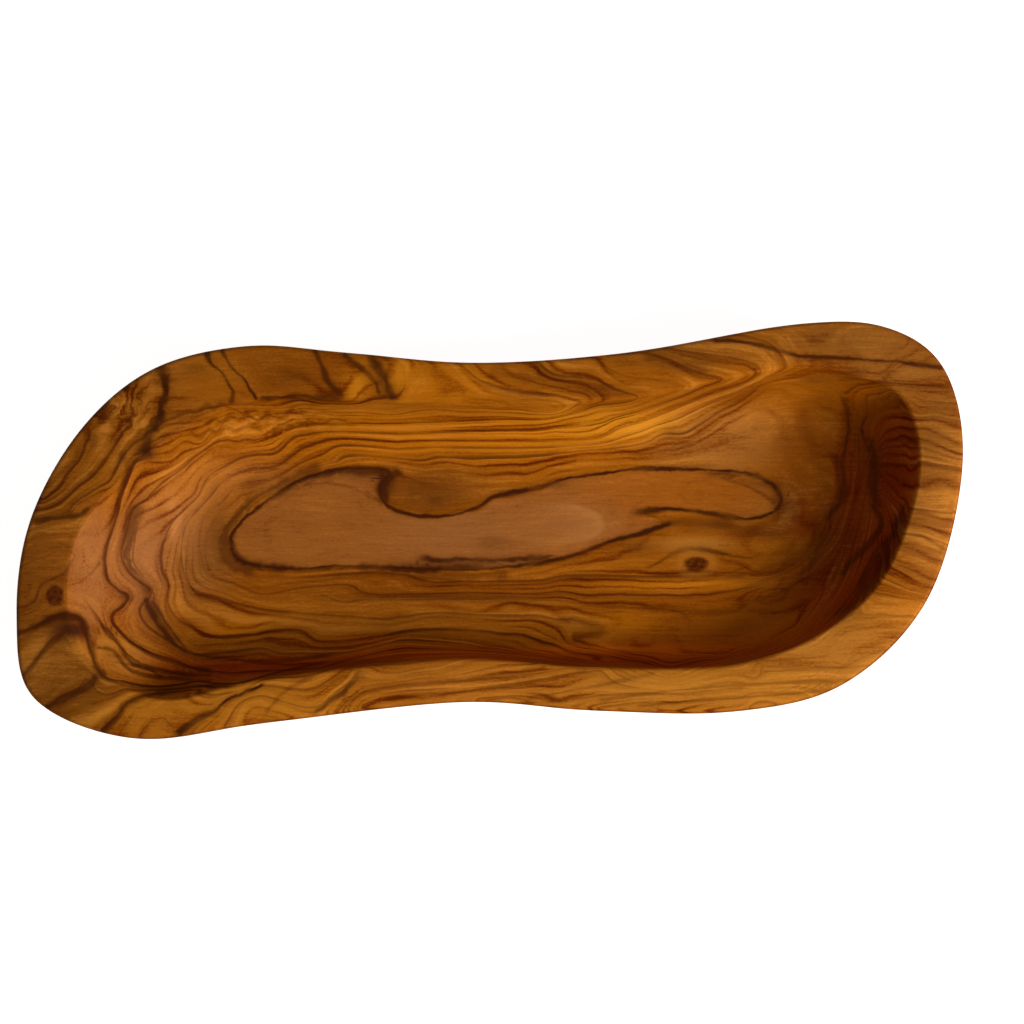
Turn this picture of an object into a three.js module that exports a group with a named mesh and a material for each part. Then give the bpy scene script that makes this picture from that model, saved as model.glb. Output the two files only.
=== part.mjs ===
// An olive wood bowl, carved in one piece from a single block: an S-shaped dish with a broad flat rim,
// a hollow whose walls are steep along the near side and slack at the left end, and an outside that
// draws in to a flat base.
// Millimetres, +Z up. The origin lies on the table, under the middle of the rim.

import * as THREE from "three";

// Driving dimensions
const LENGTH = 300; // over the rim, along X
const WIDTH = 132.5; // over the rim, along Y
const HEIGHT = 42; // from the table to the top of the rim
const FLOOR_THICKNESS = 12; // wood left under the lowest point of the hollow
const FLOOR_DISH = 2.5; // rise of the floor from its middle to the foot of the wall
const RIM_WIDTH = 14; // rim where it is narrowest, along the sides
const CORNER_RIM_WIDTH = 23; // rim where it is broadest, at the upper left corner
const RIM_CROWN = 0.5; // how far the middle of the rim stands above its edges
const OUTER_ROUND = 1.6; // radius of the rim's outer edge
const LIP_ROUND = 2; // radius where the rim turns down into the hollow
const STEEP_WALL_RUN = 12; // level distance from the lip to the foot of the wall, along the near side
const SLACK_WALL_RUN = 36; // the same at the left end
const STEEP_WALL_ANGLE = 80; // degrees that the wall falls at the lip, along the near side
const SLACK_WALL_ANGLE = 46; // the same at the left end
const BASE_INSET = 24; // level distance from the rim's outer edge in to the edge of the base

// How the curved faces are drawn: shares of a face's own width or height, where its curve is pulled to
const WALL_PULL_AT_LIP = 0.45;
const WALL_PULL_AT_FOOT = 0.55;
const OUTSIDE_PULL_AT_BASE = { out: 0.4, up: 0.12 };
const OUTSIDE_PULL_AT_RIM = { out: 1, up: 0.45 };

// Facets
const COLUMNS_PER_STATION = 5;
const OUTSIDE_STEPS = 7;
const ROUND_STEPS = 3;
const RIM_STEPS = 4;
const WALL_STEPS = 9;
const FLOOR_STEPS = 4;

// Stations of the outline, counter-clockwise from the right end. x and y are shares of half the length
// and half the width. corner says how far the rim has broadened there, from RIM_WIDTH at 0 to
// CORNER_RIM_WIDTH at 1, and slack how far the wall has eased, from the steep wall's run and angle at 0
// to the slack wall's at 1.
const STATIONS = [
  { x: 1.0, y: 0.3, corner: 0, slack: 0.15 }, // right end
  { x: 0.967, y: 0.763, corner: 0.25, slack: 0.2 },
  { x: 0.847, y: 0.979, corner: 0.6, slack: 0.2 }, // upper right corner
  { x: 0.655, y: 1.0, corner: 0.1, slack: 0.17 },
  { x: 0.3, y: 0.868, corner: 0.1, slack: 0.12 },
  { x: -0.02, y: 0.822, corner: 0.05, slack: 0.12 }, // waist of the far side
  { x: -0.295, y: 0.874, corner: 0.2, slack: 0.12 },
  { x: -0.515, y: 0.91, corner: 0.45, slack: 0.25 },
  { x: -0.72, y: 0.797, corner: 1, slack: 0.5 }, // upper left corner
  { x: -0.873, y: 0.5, corner: 0.9, slack: 0.7 },
  { x: -0.977, y: 0.055, corner: 0.3, slack: 0.9 },
  { x: -1.0, y: -0.42, corner: 0.35, slack: 1 }, // left end
  { x: -0.955, y: -0.813, corner: 0.9, slack: 0.8 }, // lower left corner
  { x: -0.74, y: -1.0, corner: 0.15, slack: 0.35 },
  { x: -0.465, y: -0.923, corner: 0, slack: 0.05 },
  { x: -0.05, y: -0.816, corner: 0, slack: 0 }, // waist of the near side
  { x: 0.235, y: -0.851, corner: 0, slack: 0 },
  { x: 0.53, y: -0.851, corner: 0.1, slack: 0 },
  { x: 0.757, y: -0.716, corner: 0.4, slack: 0.1 }, // lower right corner
  { x: 0.928, y: -0.317, corner: 0.2, slack: 0.15 },
];
const COLUMNS = STATIONS.length * COLUMNS_PER_STATION;

// Ends of the hollow's spine, in the same shares
const SPINE_ENDS = [
  { x: -0.5, y: -0.22 },
  { x: 0.56, y: 0.2 },
];

const { lerp, degToRad } = THREE.MathUtils;

function closedCurve(points) {
  return new THREE.CatmullRomCurve3(points, true, "catmullrom", 0.5);
}

// A closed ring through one point per station, sampled at the same columns whatever the points are.
function ringThrough(points) {
  const curve = closedCurve(points);
  return Array.from({ length: COLUMNS }, (_, column) => curve.getPoint(column / COLUMNS));
}

// The stations' points, fitted so that the sampled outline measures LENGTH by WIDTH about the origin.
function fittedOutline() {
  const shares = STATIONS.map(({ x, y }) => new THREE.Vector3(x, y, 0));
  const box = new THREE.Box3().setFromPoints(ringThrough(shares));
  const middle = box.getCenter(new THREE.Vector3());
  const size = box.getSize(new THREE.Vector3());
  const fit = new THREE.Vector3(LENGTH / size.x, WIDTH / size.y, 0);
  return shares.map((point) => point.sub(middle).multiply(fit));
}

// The straight line that the walls close in on, from the middle of the left end to the middle of the
// right end.
function spineLine() {
  const half = new THREE.Vector3(LENGTH / 2, WIDTH / 2, 0);
  const [left, right] = SPINE_ENDS.map(({ x, y }) => new THREE.Vector3(x, y, 0).multiply(half));
  return new THREE.Line3(left, right);
}

function waysToSpine(points) {
  const spine = spineLine();
  return points.map((point) => {
    const nearest = spine.closestPointToPoint(point, true, new THREE.Vector3());
    return nearest.sub(point).normalize();
  });
}

const outline = fittedOutline();
const inward = waysToSpine(outline);

// The outline drawn in at each station by the distance that insetAt gives for it.
function insetOutline(insetAt) {
  return ringThrough(
    outline.map((point, i) => point.clone().addScaledVector(inward[i], insetAt(STATIONS[i]))),
  );
}

const rimWidthAt = ({ corner }) => lerp(RIM_WIDTH, CORNER_RIM_WIDTH, corner);
const wallRunAt = ({ slack }) => lerp(STEEP_WALL_RUN, SLACK_WALL_RUN, slack);

// The four edges that the faces run between, seen from above
const baseEdge = insetOutline(() => BASE_INSET);
const rimEdge = insetOutline(() => 0);
const lipEdge = insetOutline(rimWidthAt);
const floorEdge = insetOutline((station) => rimWidthAt(station) + wallRunAt(station));

// The wall's angle at the lip, in radians, at each column
const lipAngle = ringThrough(STATIONS.map(({ slack }) => new THREE.Vector3(slack, 0, 0))).map((slack) =>
  degToRad(lerp(STEEP_WALL_ANGLE, SLACK_WALL_ANGLE, slack.x)),
);

const RIM_EDGE_Z = HEIGHT - RIM_CROWN;
const WALL_FOOT_Z = FLOOR_THICKNESS + FLOOR_DISH;

// The point a given distance from one ring's column towards another ring's, at height z.
function towards(from, to, column, distance, z) {
  const way = to[column].clone().sub(from[column]).setLength(distance);
  return from[column].clone().add(way).setZ(z);
}

// The point at a given share of the way from one ring's column to another ring's, at height z.
function between(from, to, column, share, z) {
  return from[column].clone().lerp(to[column], share).setZ(z);
}

function makeRing(pointAt) {
  return Array.from({ length: COLUMNS }, (_, column) => pointAt(column));
}

// Numbers from 1 / steps up to 1.
function shares(steps) {
  return Array.from({ length: steps }, (_, step) => (step + 1) / steps);
}

// Outside, from the base's edge up to just under the rim: shallow at the base and upright at the top.
function outsideRings() {
  const top = RIM_EDGE_Z - OUTER_ROUND;
  const profile = new THREE.CubicBezierCurve(
    new THREE.Vector2(0, 0),
    new THREE.Vector2(OUTSIDE_PULL_AT_BASE.out, OUTSIDE_PULL_AT_BASE.up * top),
    new THREE.Vector2(OUTSIDE_PULL_AT_RIM.out, OUTSIDE_PULL_AT_RIM.up * top),
    new THREE.Vector2(1, top),
  );
  return profile
    .getPoints(OUTSIDE_STEPS)
    .map(({ x, y }) => makeRing((column) => between(baseEdge, rimEdge, column, x, y)));
}

function outerRoundRings() {
  return shares(ROUND_STEPS).map((share) => {
    const angle = (share * Math.PI) / 2;
    const inset = OUTER_ROUND * (1 - Math.cos(angle));
    const z = RIM_EDGE_Z - OUTER_ROUND * (1 - Math.sin(angle));
    return makeRing((column) => towards(rimEdge, lipEdge, column, inset, z));
  });
}

// How far out from the lip's edge its rounding starts.
function lipRoundReach(column) {
  return LIP_ROUND * Math.sin(lipAngle[column]);
}

function rimRings() {
  const outer = makeRing((column) => towards(rimEdge, lipEdge, column, OUTER_ROUND, 0));
  const inner = makeRing((column) => towards(lipEdge, rimEdge, column, lipRoundReach(column), 0));
  return shares(RIM_STEPS).map((share) => {
    const z = HEIGHT - RIM_CROWN * (2 * share - 1) ** 2;
    return makeRing((column) => between(outer, inner, column, share, z));
  });
}

// The lip turns from level to the wall's own angle, so that wall and rim flow into each other.
function lipRings() {
  return shares(ROUND_STEPS).map((share) =>
    makeRing((column) => {
      const angle = share * lipAngle[column];
      const out = lipRoundReach(column) - LIP_ROUND * Math.sin(angle);
      return towards(lipEdge, rimEdge, column, out, RIM_EDGE_Z - LIP_ROUND * (1 - Math.cos(angle)));
    }),
  );
}

// The wall's section at one column: x is the level distance from the lip and y the height.
function wallProfile(column) {
  const angle = lipAngle[column];
  const run = lipEdge[column].distanceTo(floorEdge[column]);
  const top = RIM_EDGE_Z - LIP_ROUND * (1 - Math.cos(angle));
  const pull = WALL_PULL_AT_LIP * (top - WALL_FOOT_Z);
  return new THREE.CubicBezierCurve(
    new THREE.Vector2(0, top),
    new THREE.Vector2(pull * Math.cos(angle), top - pull * Math.sin(angle)),
    new THREE.Vector2(run * (1 - WALL_PULL_AT_FOOT), WALL_FOOT_Z),
    new THREE.Vector2(run, WALL_FOOT_Z),
  );
}

function wallRings() {
  const profiles = lipEdge.map((_, column) => wallProfile(column));
  return shares(WALL_STEPS).map((share) =>
    makeRing((column) => {
      const { x, y } = profiles[column].getPoint(share);
      return towards(lipEdge, floorEdge, column, x, y);
    }),
  );
}

// The dished floor, from the foot of the wall in towards its middle, which closes the last ring as a
// single point.
function floorRings() {
  const middle = makeRing(() => new THREE.Vector3());
  return shares(FLOOR_STEPS)
    .slice(0, -1)
    .map((share) => {
      const z = FLOOR_THICKNESS + FLOOR_DISH * (1 - share) ** 2;
      return makeRing((column) => between(floorEdge, middle, column, share, z));
    });
}

// One closed skin: the middle of the base, the rings in order, and the middle of the floor.
function skinGeometry(rings) {
  const baseMiddle = new THREE.Vector3(0, 0, 0);
  const floorMiddle = new THREE.Vector3(0, 0, FLOOR_THICKNESS);
  const points = [baseMiddle, ...rings.flat(), floorMiddle];
  const last = points.length - 1;
  const at = (ring, column) => 1 + ring * COLUMNS + (column % COLUMNS);
  const triangles = [];
  for (let column = 0; column < COLUMNS; column++) {
    triangles.push(0, at(0, column + 1), at(0, column));
    triangles.push(last, at(rings.length - 1, column), at(rings.length - 1, column + 1));
    for (let ring = 0; ring < rings.length - 1; ring++) {
      triangles.push(at(ring, column), at(ring, column + 1), at(ring + 1, column + 1));
      triangles.push(at(ring, column), at(ring + 1, column + 1), at(ring + 1, column));
    }
  }
  const geometry = new THREE.BufferGeometry().setFromPoints(points).setIndex(triangles);
  geometry.computeVertexNormals();
  return geometry;
}

function makeCarvedBowl() {
  const rings = [
    ...outsideRings(),
    ...outerRoundRings(),
    ...rimRings(),
    ...lipRings(),
    ...wallRings(),
    ...floorRings(),
  ];
  const oiledOlive = new THREE.MeshStandardMaterial({ color: 0x9c6428, roughness: 0.45, metalness: 0 });
  const mesh = new THREE.Mesh(skinGeometry(rings), oiledOlive);
  mesh.name = "carved_bowl";
  return mesh;
}

const bowl = new THREE.Group();
bowl.add(makeCarvedBowl());

export default bowl;
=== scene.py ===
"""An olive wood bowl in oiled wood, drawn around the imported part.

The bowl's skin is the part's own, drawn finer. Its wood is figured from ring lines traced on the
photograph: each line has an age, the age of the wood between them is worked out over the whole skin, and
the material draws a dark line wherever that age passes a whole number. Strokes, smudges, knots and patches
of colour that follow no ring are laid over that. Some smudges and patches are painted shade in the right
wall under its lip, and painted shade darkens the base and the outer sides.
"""

import math

import bpy
import numpy as np
from mathutils import Matrix, Vector
from mathutils.bvhtree import BVHTree


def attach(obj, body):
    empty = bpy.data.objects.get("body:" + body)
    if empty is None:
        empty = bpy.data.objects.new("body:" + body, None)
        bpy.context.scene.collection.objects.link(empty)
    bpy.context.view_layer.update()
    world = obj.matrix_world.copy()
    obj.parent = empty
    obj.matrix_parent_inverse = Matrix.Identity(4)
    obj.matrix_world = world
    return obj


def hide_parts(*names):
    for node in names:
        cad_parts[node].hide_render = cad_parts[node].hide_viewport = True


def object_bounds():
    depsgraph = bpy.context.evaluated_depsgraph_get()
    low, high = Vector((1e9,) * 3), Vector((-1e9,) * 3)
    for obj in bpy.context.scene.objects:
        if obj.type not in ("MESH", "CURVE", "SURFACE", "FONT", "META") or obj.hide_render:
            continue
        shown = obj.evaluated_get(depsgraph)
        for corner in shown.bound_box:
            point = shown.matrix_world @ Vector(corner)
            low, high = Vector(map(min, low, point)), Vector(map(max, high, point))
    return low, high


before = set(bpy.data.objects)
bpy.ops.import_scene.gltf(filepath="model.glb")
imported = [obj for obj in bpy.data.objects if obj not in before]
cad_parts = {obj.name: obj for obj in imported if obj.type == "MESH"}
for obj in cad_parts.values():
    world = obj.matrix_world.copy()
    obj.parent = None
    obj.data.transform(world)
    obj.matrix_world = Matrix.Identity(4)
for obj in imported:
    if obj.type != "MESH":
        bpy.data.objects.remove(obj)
cad_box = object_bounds()

MM = 0.001
BOWL = "carved_bowl"

# Camera, from the photograph: nearly straight above, with a long lens
PICTURE = 1024
SENSOR = 36.0
LENS = 122.9
CAMERA_AIM = Vector((9.2, 5.9, 42.0)) * MM
CAMERA_DISTANCE = 1100 * MM
CAMERA_LEAN = math.radians(7)

# How finely the skin is drawn: columns round it, and steps to each of the part's own rings
COLUMNS = 640
OUTSIDE_RINGS, OUTSIDE_STEPS = 7, 4
EDGE_RINGS, EDGE_STEPS = 3, 2
RIM_RINGS, RIM_STEPS = 4, 4
LIP_RINGS, LIP_STEPS = 3, 3
WALL_RINGS, WALL_STEPS = 9, 4
FLOOR_RINGS, FLOOR_STEPS = 4, 9
BASE_STEPS = 12
EVENING, EVENING_REACH = 12, 6  # passes and columns over which the floor of the hollow is evened out
PLACE_DIGITS = 6  # digits of a place in metres, up to which two corners are one


def make_camera():
    """The photograph's camera and its axes: to the right, up, and back towards the eye."""
    back = Vector((math.tan(CAMERA_LEAN), -math.tan(CAMERA_LEAN), 1)).normalized()
    across = Vector((1, 0, 0))
    right = (across - across.dot(back) * back).normalized()
    up = back.cross(right)
    data = bpy.data.cameras.new("photograph")
    data.sensor_width = SENSOR
    data.lens = LENS
    camera = bpy.data.objects.new("photograph", data)
    turn = Matrix((right, up, back)).transposed()
    camera.matrix_world = Matrix.Translation(CAMERA_AIM + CAMERA_DISTANCE * back) @ turn.to_4x4()
    bpy.context.scene.collection.objects.link(camera)
    bpy.context.scene.camera = camera
    return camera, right, up, back


camera, view_right, view_up, view_back = make_camera()


def sight(px, py):
    """The direction in which the camera sees a pixel of the photograph."""
    reach = LENS / SENSOR * PICTURE
    across = float(px - PICTURE / 2) / reach
    upward = float(PICTURE / 2 - py) / reach
    return (view_right * across + view_up * upward - view_back).normalized()


# The skin

def merged_corners(mesh):
    """A mesh's corners with doubles merged, and its edges between them."""
    places = np.empty(len(mesh.vertices) * 3, dtype=np.float32)
    mesh.vertices.foreach_get("co", places)
    ends = np.empty(len(mesh.edges) * 2, dtype=np.int32)
    mesh.edges.foreach_get("vertices", ends)
    rounded = np.round(places.reshape(-1, 3).astype(float), PLACE_DIGITS)
    corners, merged = np.unique(rounded, axis=0, return_inverse=True)
    return corners, merged.reshape(-1)[ends].reshape(-1, 2)


def rings_out_from(start, neighbours):
    """The corners one edge away from the start, then those two edges away, and so on."""
    seen = {start}
    ring = {start}
    rings = []
    while ring:
        ring = {n for corner in ring for n in neighbours[corner]} - seen
        seen |= ring
        if ring:
            rings.append(ring)
    return rings


def walked_round(ring, corners, neighbours):
    """A ring's corners in order, counter-clockwise from the one furthest to the right."""
    start = max(ring, key=lambda i: corners[i][0])
    step = max(neighbours[start] & ring, key=lambda i: corners[i][1])
    order = [start]
    while step != start:
        ahead = (neighbours[step] & ring) - {order[-1]}
        order.append(step)
        step = ahead.pop()
    return order


def part_rings(mesh):
    """The part's rings by columns, from the edge of its base, over the rim and down to the floor, and the
    middles of base and floor."""
    corners, edges = merged_corners(mesh)
    neighbours = [set() for _ in corners]
    for a, b in edges:
        neighbours[a].add(b)
        neighbours[b].add(a)
    middles = sorted(range(len(corners)), key=lambda i: len(neighbours[i]))[-2:]
    base, floor = sorted(middles, key=lambda i: corners[i][2])
    rings = rings_out_from(base, neighbours)[:-1]
    first = walked_round(rings[0], corners, neighbours)
    columns = {corner: column for column, corner in enumerate(first)}
    count = len(first)
    ordered = [first]
    for ring in rings[1:]:
        lower = set(ordered[-1])
        row = [0] * count
        for corner in ring:
            one, other = (columns[n] for n in neighbours[corner] & lower)
            column = other if (one + 1) % count == other else one
            row[column] = corner
            columns[corner] = column
        ordered.append(row)
    return corners[np.array(ordered)], corners[base], corners[floor]


def smooth_between(before, start, end, after, share):
    """A point on the smooth curve through four points in a row, at a share of its middle span."""
    a = 2 * start
    b = end - before
    c = 2 * before - 5 * start + 4 * end - after
    d = 3 * (start - end) + after - before
    return (a + share * (b + share * (c + share * d))) / 2


def finer_columns(rings):
    """Columns added between the part's own."""
    count = rings.shape[1]
    spots = np.arange(COLUMNS) * count / COLUMNS
    span = np.floor(spots).astype(int)
    share = (spots - span)[None, :, None]
    before, start, end, after = (rings[:, (span + step) % count] for step in (-1, 0, 1, 2))
    return smooth_between(before, start, end, after, share)


def evened_floor(rings):
    """The rings with the floor's heights evened out round each ring, more so towards the middle."""
    rings = rings.copy()
    for back in range(1, FLOOR_RINGS):
        for _ in range(EVENING * (FLOOR_RINGS - back)):
            height = rings[-back, :, 2]
            before = np.roll(height, EVENING_REACH)
            after = np.roll(height, -EVENING_REACH)
            rings[-back, :, 2] = (before + 2 * height + after) / 4
    return rings


def finer_rings(rings, floor_middle):
    """Rings added between the part's own, so that each face keeps its shape and is drawn more smoothly."""
    steps = (
        [OUTSIDE_STEPS] * OUTSIDE_RINGS
        + [EDGE_STEPS] * EDGE_RINGS
        + [RIM_STEPS] * RIM_RINGS
        + [LIP_STEPS] * LIP_RINGS
        + [WALL_STEPS] * WALL_RINGS
        + [FLOOR_STEPS] * FLOOR_RINGS
    )
    rings = evened_floor(rings)
    before_first = 2 * rings[0] - rings[1]
    middle = np.broadcast_to(floor_middle, rings[0].shape)
    beyond_middle = np.roll(rings[-1], COLUMNS // 2, axis=0)
    rows = [before_first, *rings, middle, beyond_middle]
    finer = []
    for span, count in enumerate(steps):
        for step in range(count):
            finer.append(smooth_between(*rows[span:span + 4], step / count))
    return finer


def base_rings(edge, middle):
    """Flat rings from the middle of the base out to just short of its edge."""
    return [middle + (edge - middle) * step / BASE_STEPS for step in range(1, BASE_STEPS)]


def skin_faces(ring_count):
    """Faces of a skin whose corners are the middle of the base, the rings and the middle of the floor."""
    last = 1 + ring_count * COLUMNS
    faces = []
    for column in range(COLUMNS):
        beside = (column + 1) % COLUMNS
        faces.append((0, 1 + beside, 1 + column))
        faces.append((last, last - COLUMNS + column, last - COLUMNS + beside))
        for ring in range(ring_count - 1):
            near = 1 + ring * COLUMNS
            far = near + COLUMNS
            faces.append((near + column, near + beside, far + beside, far + column))
    return faces


def make_skin():
    rings, base, floor = part_rings(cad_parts[BOWL].data)
    rings = finer_columns(rings)
    rows = base_rings(rings[0], base) + finer_rings(rings, floor)
    corners = np.concatenate([base[None], *rows, floor[None]])
    corners = np.clip(corners, *np.array(cad_box))
    mesh = bpy.data.meshes.new("olive_bowl")
    mesh.from_pydata(corners.tolist(), [], skin_faces(len(rows)))
    mesh.polygons.foreach_set("use_smooth", np.ones(len(mesh.polygons), dtype=bool))
    mesh.update()
    bowl = bpy.data.objects.new("olive_bowl", mesh)
    bpy.context.scene.collection.objects.link(bowl)
    return bowl, corners


bowl, corners = make_skin()
normals = np.empty(len(corners) * 3, dtype=np.float32)
bowl.data.vertex_normals.foreach_get("vector", normals)
normals = normals.reshape(-1, 3)
skin_tree = BVHTree.FromPolygons(corners.tolist(), [tuple(face.vertices) for face in bowl.data.polygons])


def on_skin(px, py):
    """The point of the bowl that the camera sees at a pixel of the photograph, or None beside the bowl."""
    hit = skin_tree.ray_cast(camera.matrix_world.translation, sight(px, py))[0]
    return None if hit is None else np.array(hit)


# Ring lines of the wood, traced on the photograph: each has an age, a strength from faint to dark,
# and the pixels that it passes. Ages grow outwards from the outline of the heart, which is 0.

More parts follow.
